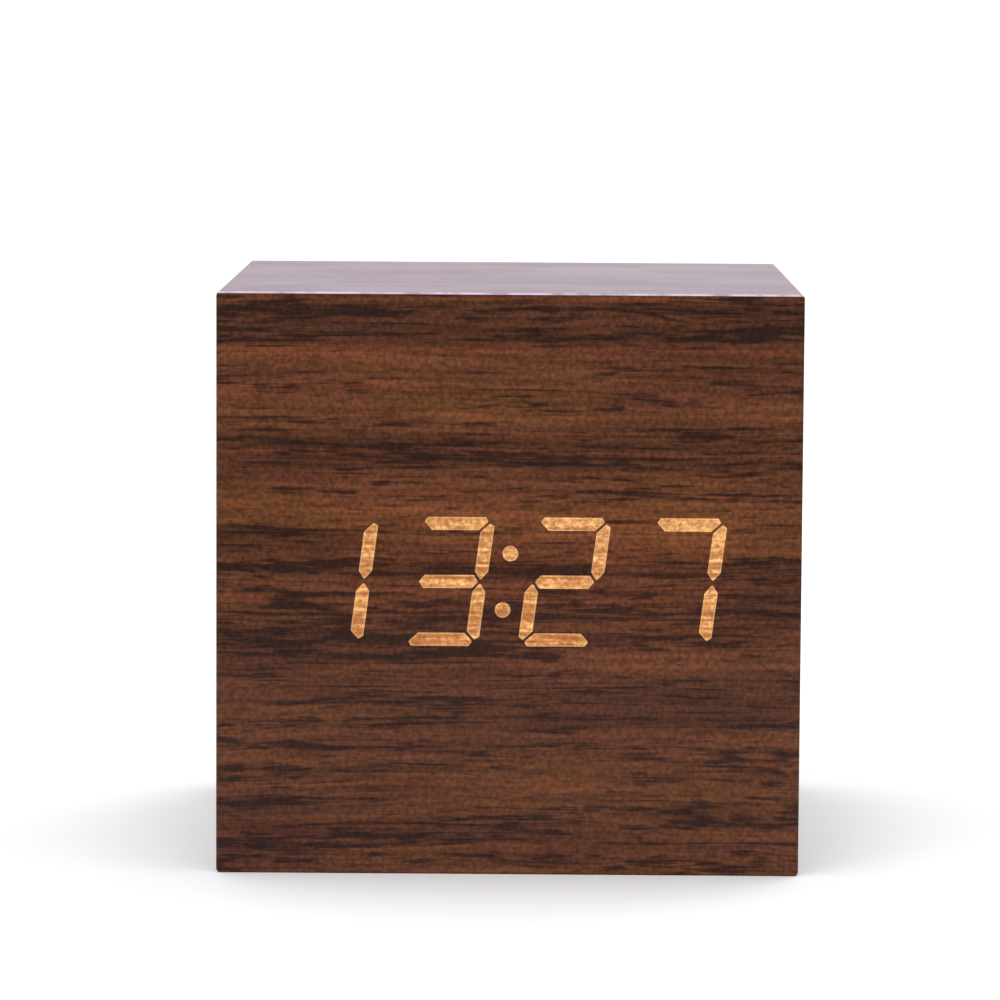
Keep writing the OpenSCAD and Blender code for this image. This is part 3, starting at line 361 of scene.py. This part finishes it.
def light_leak(finish):
    """1 amid the lit segments, falling to 0 outside their row."""
    low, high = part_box("lit_segments")
    x, y, z = finish.place_mm()
    beside = finish.between(x, low.x / MM, high.x / MM, LEAK_REACH_MM)
    above = finish.between(z, low.z / MM, high.z / MM, LEAK_REACH_MM)
    return finish.math("MULTIPLY", beside, above)


def painted_edge_highlight(finish):
    """Share of the painted highlight, broken into patches, which is only on the edge between the front and
    the top.
    """
    x, y, z = finish.facing()
    upwards = finish.spread(z, EDGE_BEGIN, EDGE_FULL)
    forwards = finish.spread(y, -EDGE_BEGIN, -EDGE_FULL)
    patches = finish.even_noise(HIGHLIGHT_PATCH_MM, finish.seed + HIGHLIGHT_SEED_STEP)
    highlight = finish.spread(patches, *HIGHLIGHT_NOISE, *HIGHLIGHT_SHARES)
    return finish.math("MULTIPLY", finish.math("MULTIPLY", upwards, forwards), highlight)


def walnut(name, seed, direction, gloss, pore_depth_mm, lit=False):
    """Veneer with open pores. Where it is lit, light from the digits spreads in it."""
    finish = Grain(name, seed, direction)
    tone = wood_tone(finish)
    if lit:
        leak = finish.math("MULTIPLY", light_leak(finish), LEAK_STRENGTH)
        finish.set(Emission_Color=finish.tinted(tone, LEAK_TINT), Emission_Strength=leak)
    clouds = finish.even_noise(VENEER_CLOUD_MM, seed)
    # The pale edge between the front and the top is a painted highlight in the base colour
    finish.set(Base_Color=finish.mix(painted_edge_highlight(finish), tone, PAINTED_EDGE_HIGHLIGHT), Specular_IOR_Level=gloss)
    finish.set(Roughness=finish.spread(clouds, *CLOUD_NOISE, *VENEER_ROUGHNESS))
    relief = finish.math("SUBTRACT", finish.math("MULTIPLY", finish.mottle, MOTTLE_RELIEF), finish.dashes)
    finish.bump(relief, pore_depth_mm)
    return finish.material


# Veneer lit from behind

UNLIT_WOOD = srgb(80, 46, 30)
LIT_ROUGHNESS = (0.22, 0.32)
PALE_GLOW = srgb(250, 198, 129)
DEEP_GLOW = srgb(211, 144, 81)
STREAK_GLOW = srgb(182, 110, 56)
STREAK_GLOW_NOISE = (0.45, 0.75)
STREAK_GLOW_SHARE = 0.7
PORE_GLOW = srgb(146, 80, 38)
PORE_GLOW_SHARE = 0.75
MOTTLE_GLOW_SHADES = (0.66, 1.3)
FLECK_GLOW = srgb(158, 92, 48)
FLECK_MM = 0.32
FLECK_SEED_STEP = 3.0
FLECK_NOISE = (0.48, 0.68)
FLECK_SHARE = 0.6
RIM_GLOW = srgb(255, 212, 146)
RIM_MM = 0.6
RIM_SHARE = 0.3
# Strength of the glow at the foot and at the head of the digits
FOOT_GLOW = 1.08
HEAD_GLOW = 0.97


def lit_veneer(name, seed, direction):
    """The front veneer where a segment shines through it, palest at the rim of the segment."""
    finish = Grain(name, seed, direction)
    glow = finish.mix(finish.spread(finish.fibre("strands"), *GRAIN_NOISE), PALE_GLOW, DEEP_GLOW)
    streaks = finish.spread(finish.streaks, *STREAK_GLOW_NOISE, 0.0, STREAK_GLOW_SHARE)
    glow = finish.mix(streaks, glow, STREAK_GLOW)
    glow = finish.laid_over(glow, finish.dashes, PORE_GLOW_SHARE, PORE_GLOW)
    glow = finish.shaded(glow, finish.mottle, MOTTLE_GLOW_SHADES)
    flecks = finish.even_noise(FLECK_MM, seed + FLECK_SEED_STEP, detail=FINE_DETAIL)
    glow = finish.mix(finish.spread(flecks, *FLECK_NOISE, 0.0, FLECK_SHARE), glow, FLECK_GLOW)
    glow = finish.laid_over(glow, finish.rim(RIM_MM), RIM_SHARE, RIM_GLOW)
    low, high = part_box("lit_segments")
    x, y, z = finish.place_mm()
    strength = finish.spread(z, low.z / MM, high.z / MM, FOOT_GLOW, HEAD_GLOW)
    finish.set(Base_Color=UNLIT_WOOD, Emission_Color=glow, Emission_Strength=strength)
    finish.set(Roughness=finish.spread(finish.mottle, *GRAIN_NOISE, *LIT_ROUGHNESS))
    finish.set(Specular_IOR_Level=FRONT_GLOSS)
    finish.bump(finish.mottle, PORE_DEPTH_MM)
    return finish.material


# Fibreboard

DARK_FIBRE = srgb(150, 116, 78)
PALE_FIBRE = srgb(196, 164, 120)
FIBRE_MM = 0.35
FIBRE_DETAIL = 4.0
FIBRE_DEPTH_MM = 0.05
FIBRE_ROUGHNESS = (0.75, 0.92)
BOARD_CLOUD = srgb(136, 100, 64)
BOARD_CLOUD_MM = 6.0
BOARD_CLOUD_NOISE = (0.35, 0.65)
BOARD_CLOUD_SHARE = 0.3


def fibreboard(name):
    """Raw board of pressed wood fibres."""
    finish = Finish(name)
    fibres = finish.even_noise(FIBRE_MM, detail=FIBRE_DETAIL)
    clouds = finish.even_noise(BOARD_CLOUD_MM, seed=11.0)
    tone = finish.mix(finish.spread(fibres, *CLOUD_NOISE), DARK_FIBRE, PALE_FIBRE)
    tone = finish.mix(finish.spread(clouds, *BOARD_CLOUD_NOISE, 0.0, BOARD_CLOUD_SHARE), tone, BOARD_CLOUD)
    finish.set(Base_Color=tone, Roughness=finish.spread(fibres, *CLOUD_NOISE, *FIBRE_ROUGHNESS))
    finish.bump(fibres, FIBRE_DEPTH_MM)
    return finish.material


# Plastics

PLASTIC_CLOUD_MM = 9.0
PIT_DEPTH_MM = 0.03
PIT_STRENGTH = 0.5
# Paint in a button's mark: its colour, its depth below the rim of the cap, and how far above and below that
# depth it shows
MARK_PAINT = srgb(196, 196, 194)
MARK_SINK_MM = 0.35
MARK_BAND_MM = 0.1


def moulded_plastic(name, dark, pale, pit_mm, roughness, paint=None):
    """Plastic with the fine pitted skin of a textured mould. Paint fills the mark sunk into a button."""
    finish = Finish(name)
    pits = finish.even_noise(pit_mm, detail=FINE_DETAIL)
    clouds = finish.even_noise(PLASTIC_CLOUD_MM, seed=5.0)
    tone = finish.mix(finish.spread(clouds, *CLOUD_NOISE), srgb(*dark), srgb(*pale))
    if paint:
        x, y, z = finish.place_mm()
        mark_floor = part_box("set_button")[1].y / MM - MARK_SINK_MM
        in_mark = finish.between(y, mark_floor - MARK_BAND_MM, mark_floor + MARK_BAND_MM)
        tone = finish.mix(in_mark, tone, paint)
    finish.set(Base_Color=tone, Roughness=finish.spread(clouds, *CLOUD_NOISE, *roughness))
    finish.bump(pits, PIT_DEPTH_MM, PIT_STRENGTH)
    return finish.material


# Metals

# Drawing marks: how much longer they are along Y, their number per millimetre, and their depth
MARK_STRETCH = 10.0
MARKS_PER_MM = 2.5
MARK_DEPTH_MM = 0.0008
METAL_CLOUD_MM = 1.6


def plated_metal(name, dark, pale, roughness):
    """Plated or bare metal with faint drawing marks and clouds."""
    finish = Finish(name)
    x, y, z = finish.place_mm()
    drawn = finish.vector(x, finish.math("MULTIPLY", y, 1 / MARK_STRETCH), z)
    marks = finish.noise(drawn, MARKS_PER_MM)
    clouds = finish.even_noise(METAL_CLOUD_MM, seed=2.0)
    tone = finish.mix(finish.spread(clouds, *CLOUD_NOISE), srgb(*dark), srgb(*pale))
    finish.set(Base_Color=tone, Metallic=1.0)
    finish.set(Roughness=finish.spread(marks, *CLOUD_NOISE, *roughness))
    finish.bump(marks, MARK_DEPTH_MM)
    return finish.material


# Cells

CELL_BLUE = srgb(34, 62, 92)
CELL_PALE_BLUE = srgb(40, 72, 104)
CELL_SILVER = srgb(176, 182, 188)
CELL_STEEL = srgb(196, 196, 194)
# Radius that a cell's film reaches in over its ends, and the soft limit of the film there
CELL_FILM_RIM_MM = 4.0
CELL_FILM_SOFT_MM = 0.1
# Printed places, from the positive end: the silver band, the stripe beside it and the plus
CELL_BAND_MM = 12.6
CELL_STRIPE_MM = (13.1, 13.6)
CELL_PLUS_MM = 7.0
# Place of the minus from the negative end, and half the length and height of a printed stroke
CELL_MINUS_MM = 6.0
STROKE_HALF_L_MM = 1.6
STROKE_HALF_H_MM = 0.4
FILM_METALLIC = 0.4
FILM_ROUGHNESS = (0.28, 0.36)
SCUFF_MM = 1.2
SCUFF_DEPTH_MM = 0.001


def printed_cell(name, node, polarity):
    """A cell's printed film and bare steel ends. Its positive end points to +X where polarity is 1."""
    finish = Finish(name)
    low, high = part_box(node)
    length = (high.x - low.x) / MM
    x, y, z = finish.place_mm()
    from_end = finish.math("SUBTRACT", x, (low.x if polarity > 0 else high.x) / MM)
    along = finish.math("MULTIPLY", from_end, polarity)
    outwards = finish.math("SUBTRACT", y, (low.y + high.y) / 2 / MM)
    upwards = finish.math("SUBTRACT", z, (low.z + high.z) / 2 / MM)
    radius = finish.vector_math("LENGTH", {0: finish.vector(0.0, outwards, upwards)}, output="Value")
    film_begin = CELL_FILM_RIM_MM - CELL_FILM_SOFT_MM
    film_full = CELL_FILM_RIM_MM + CELL_FILM_SOFT_MM
    bare = finish.spread(radius, film_begin, film_full, 1.0, 0.0)

    def stroke(middle, half_l, half_h):
        """A printed stroke on the side that faces the door, centred at a distance from the negative end."""
        flat = finish.between(along, middle - half_l, middle + half_l)
        tall = finish.between(upwards, -half_h, half_h)
        side = finish.math("GREATER_THAN", outwards, 0.0)
        return finish.math("MULTIPLY", finish.math("MULTIPLY", flat, tall), side)

    scuffs = finish.even_noise(SCUFF_MM, seed=polarity)
    tone = finish.mix(finish.spread(scuffs, *CLOUD_NOISE), CELL_BLUE, CELL_PALE_BLUE)
    tone = finish.mix(finish.between(along, length - CELL_BAND_MM, length), tone, CELL_SILVER)
    stripe_begin, stripe_end = CELL_STRIPE_MM
    tone = finish.mix(finish.between(along, length - stripe_end, length - stripe_begin), tone, CELL_SILVER)
    upright = stroke(length - CELL_PLUS_MM, STROKE_HALF_H_MM, STROKE_HALF_L_MM)
    level = stroke(length - CELL_PLUS_MM, STROKE_HALF_L_MM, STROKE_HALF_H_MM)
    tone = finish.mix(finish.math("MAXIMUM", upright, level), tone, CELL_BLUE)
    tone = finish.mix(stroke(CELL_MINUS_MM, STROKE_HALF_L_MM, STROKE_HALF_H_MM), tone, CELL_SILVER)
    tone = finish.mix(bare, tone, CELL_STEEL)
    finish.set(Base_Color=tone, Metallic=finish.choose(bare, FILM_METALLIC, 1.0))
    finish.set(Roughness=finish.spread(scuffs, *CLOUD_NOISE, *FILM_ROUGHNESS))
    finish.bump(scuffs, SCUFF_DEPTH_MM)
    return finish.material


# Circuit boards

DARK_MASK = srgb(18, 70, 42)
PALE_MASK = srgb(26, 88, 54)
MASK_CLOUD_MM = 3.0
MASK_ROUGHNESS = 0.35
COPPER_UNDER_MASK = srgb(52, 122, 74)
COPPER_FIELD_MM = 5.0
COPPER_FIELD_NOISE = (0.45, 0.55)
COPPER_SCALE = 0.4
COPPER_WIDTH = 0.06
COPPER_SMOOTH = 0.3
COPPER_RISE_MM = 0.03
BLACK = (0, 0, 0, 1)
WHITE = (1, 1, 1, 1)


def circuit_board(name):
    """Green solder mask over fields of thin copper tracks."""
    finish = Finish(name)
    x, y, z = finish.place_mm()
    grid = finish.add("ShaderNodeTexBrick", {
        "Vector": finish.vector(x, z, 0.0), "Color1": BLACK, "Color2": BLACK, "Mortar": WHITE,
        "Scale": COPPER_SCALE, "Mortar Size": COPPER_WIDTH, "Mortar Smooth": COPPER_SMOOTH,
    })
    fields = finish.spread(finish.even_noise(COPPER_FIELD_MM), *COPPER_FIELD_NOISE)
    copper = finish.math("MULTIPLY", grid.outputs["Fac"], fields)
    clouds = finish.even_noise(MASK_CLOUD_MM, seed=4.0)
    mask = finish.mix(finish.spread(clouds, *CLOUD_NOISE), DARK_MASK, PALE_MASK)
    finish.set(Base_Color=finish.mix(copper, mask, COPPER_UNDER_MASK), Roughness=MASK_ROUGHNESS)
    finish.bump(copper, COPPER_RISE_MM)
    return finish.material


# Materials of the nodes

# Dark and pale tone, width of the pits in millimetres, range of roughness, and the nodes made of each plastic
PLASTICS = {
    "panel_plastic": ((26, 26, 28), (32, 32, 34), 0.22, (0.42, 0.52),
                      ("rear_panel", "battery_door", "door_latch")),
    "inner_plastic": ((22, 22, 23), (28, 28, 29), 0.3, (0.5, 0.6),
                      ("light_baffle", "usb_tongue", "controller_chip", "chip_resistors", "buzzer")),
    "switch_plastic": ((36, 36, 38), (44, 44, 46), 0.2, (0.4, 0.5),
                       ("key_switches", "set_plunger", "up_plunger", "down_plunger")),
    "spacer_nylon": ((222, 216, 204), (232, 228, 218), 0.2, (0.4, 0.5), ("board_spacers",)),
    "diffuser_plastic": ((240, 234, 220), (248, 244, 234), 0.15, (0.3, 0.4), ("segment_diffusers",)),
    "led_resin": ((226, 200, 110), (238, 216, 134), 0.2, (0.2, 0.3), ("led_chips",)),
    "cable_film": ((206, 202, 190), (216, 212, 202), 0.4, (0.4, 0.5), ("key_cable",)),
    "red_rubber": ((160, 26, 30), (182, 36, 38), 0.3, (0.4, 0.5), ("red_lead",)),
    "black_rubber": ((26, 26, 28), (36, 36, 38), 0.3, (0.4, 0.5), ("black_lead",)),
}
BUTTON_PLASTIC = ((40, 40, 43), (46, 46, 49), 0.12, (0.3, 0.38))
BUTTONS = ("set_button", "up_button", "down_button")
# Dark and pale tone, range of roughness, and the nodes made of each metal
METALS = {
    "zinc_plate": ((176, 178, 182), (200, 202, 206), (0.25, 0.4),
                   ("panel_screws", "main_board_screws", "key_board_screws", "usb_shell")),
    "nickel_plate": ((196, 192, 182), (216, 212, 204), (0.3, 0.42), ("contact_plates", "contact_springs")),
    "drawn_can": ((190, 192, 196), (208, 210, 212), (0.25, 0.4), ("quartz_crystal", "microphone")),
    "capacitor_sleeve": ((30, 42, 62), (38, 52, 76), (0.3, 0.4), ("filter_capacitor",)),
}
BOARDS = ("top_board", "bottom_board", "left_board", "right_board", "front_board", "corner_blocks")
# 1 where the positive end points to +X, -1 where it points to -X
CELL_POLARITY = {"aaa_cell_top": 1, "aaa_cell_middle": -1, "aaa_cell_bottom": 1}


def assign(material, *names):
    for name in names:
        slots = NODES[name].data.materials
        slots.clear()
        slots.append(material)


front = walnut("walnut_front", FRONT_SEED, grain_along_x, FRONT_GLOSS, PORE_DEPTH_MM, lit=True)
top = walnut("walnut_top", TOP_SEED, grain_along_x, TOP_GLOSS, FILLED_PORE_DEPTH_MM)
side = walnut("walnut_side", SIDE_SEED, grain_along_y, SIDE_GLOSS, PORE_DEPTH_MM)
rear = walnut("walnut_rear", REAR_SEED, grain_round_ring, SIDE_GLOSS, PORE_DEPTH_MM)
assign(front, "front_veneer")
assign(lit_veneer("walnut_lit", FRONT_SEED, grain_along_x), "lit_segments")
assign(top, "top_veneer", "bottom_veneer")
assign(side, "left_veneer", "right_veneer")
assign(rear, "rear_edge_veneer")
assign(fibreboard("fibreboard"), *BOARDS)
for name, (dark, pale, pit_mm, roughness, nodes) in PLASTICS.items():
    assign(moulded_plastic(name, dark, pale, pit_mm, roughness), *nodes)
assign(moulded_plastic("button_plastic", *BUTTON_PLASTIC, paint=MARK_PAINT), *BUTTONS)
for name, (dark, pale, roughness, nodes) in METALS.items():
    assign(plated_metal(name, dark, pale, roughness), *nodes)
for cell, polarity in CELL_POLARITY.items():
    assign(printed_cell(cell + "_film", cell, polarity), cell)
assign(circuit_board("circuit_board"), "main_board", "key_board")


# Soft edges on the moulded pieces and the rear veneer

PANEL_ROUND_MM = 0.12
KEY_ROUND_MM = 0.08
VENEER_ROUND_MM = 0.15
ROUND_STEPS = 2
SHARP_DEG = 35.0
FLAT_DEG = 0.5
WELD_REACH = 1e-6


def soften(name, width_mm):
    """Rounds the sharp edges of a node, once its triangles are joined into flat faces."""
    piece = NODES[name]
    weld = piece.modifiers.new("weld", "WELD")
    weld.merge_threshold = WELD_REACH
    flats = piece.modifiers.new("flats", "DECIMATE")
    flats.decimate_type = "DISSOLVE"
    flats.angle_limit = math.radians(FLAT_DEG)
    bevel = piece.modifiers.new("bevel", "BEVEL")
    bevel.width = width_mm * MM
    bevel.segments = ROUND_STEPS
    bevel.limit_method = "ANGLE"
    bevel.angle_limit = math.radians(SHARP_DEG)
    bevel.harden_normals = True


for name in ("rear_panel", "battery_door"):
    soften(name, PANEL_ROUND_MM)
for name in BUTTONS + ("door_latch",):
    soften(name, KEY_ROUND_MM)
soften("rear_edge_veneer", VENEER_ROUND_MM)


# Studio

def make_floor():
    """A round sheet of paper under the clock."""
    mesh = bpy.data.meshes.new("floor")
    turns = [2 * math.pi * i / FLOOR_SIDES for i in range(FLOOR_SIDES)]
    rim = [(FLOOR_RADIUS * math.cos(turn), FLOOR_RADIUS * math.sin(turn), 0.0) for turn in turns]
    mesh.from_pydata(rim, [], [tuple(range(FLOOR_SIDES))])
    floor = bpy.data.objects.new("floor", mesh)
    bpy.context.scene.collection.objects.link(floor)
    finish = Finish("floor_paper")
    clouds = finish.even_noise(FLOOR_CLOUD_MM)
    finish.set(Base_Color=finish.mix(clouds, FLOOR_DARK, FLOOR_PALE))
    finish.set(Roughness=FLOOR_ROUGHNESS, Specular_IOR_Level=FLOOR_GLOSS)
    mesh.materials.append(finish.material)


def make_sky():
    """An even sky that is a little weaker overhead."""
    world = bpy.data.worlds.new("studio")
    bpy.context.scene.world = world
    world.use_nodes = True
    tree = world.node_tree
    background = tree.nodes["Background"]
    background.inputs["Color"].default_value = SKY_COLOUR
    direction = tree.nodes.new("ShaderNodeTexCoord").outputs["Generated"]
    height = tree.nodes.new("ShaderNodeSeparateXYZ")
    tree.links.new(direction, height.inputs[0])
    fade = tree.nodes.new("ShaderNodeMapRange")
    fade.inputs["To Min"].default_value = SKY_HORIZON
    fade.inputs["To Max"].default_value = SKY_ZENITH
    tree.links.new(height.outputs["Z"], fade.inputs["Value"])
    tree.links.new(fade.outputs["Result"], background.inputs["Strength"])


def make_light(name, place, size):
    """A soft square light that points at the middle of the clock."""
    light = bpy.data.lights.new(name, "AREA")
    light.shape = "SQUARE"
    light.size = size
    light.energy = LIGHT_POWER
    lamp = bpy.data.objects.new(name, light)
    bpy.context.scene.collection.objects.link(lamp)
    target = (CAD_BOX[0] + CAD_BOX[1]) / 2
    lamp.location = place
    lamp.rotation_euler = (target - Vector(place)).to_track_quat("-Z", "Y").to_euler()


def make_camera():
    data = bpy.data.cameras.new("camera")
    data.lens = CAMERA_LENS_MM
    data.sensor_width = CAMERA_SENSOR_MM
    camera = bpy.data.objects.new("camera", data)
    bpy.context.scene.collection.objects.link(camera)
    yaw = Matrix.Rotation(math.radians(CAMERA_YAW_DEG), 4, "Z")
    pitch = Matrix.Rotation(math.radians(90 + CAMERA_PITCH_DEG), 4, "X")
    roll = Matrix.Rotation(math.radians(CAMERA_ROLL_DEG), 4, "Z")
    camera.matrix_world = Matrix.Translation(CAMERA_PLACE) @ yaw @ pitch @ roll
    bpy.context.scene.camera = camera


make_floor()
make_sky()
for name, (place, size) in LIGHTS.items():
    make_light(name, place, size)
make_camera()
bpy.context.scene.view_settings.view_transform = "Standard"
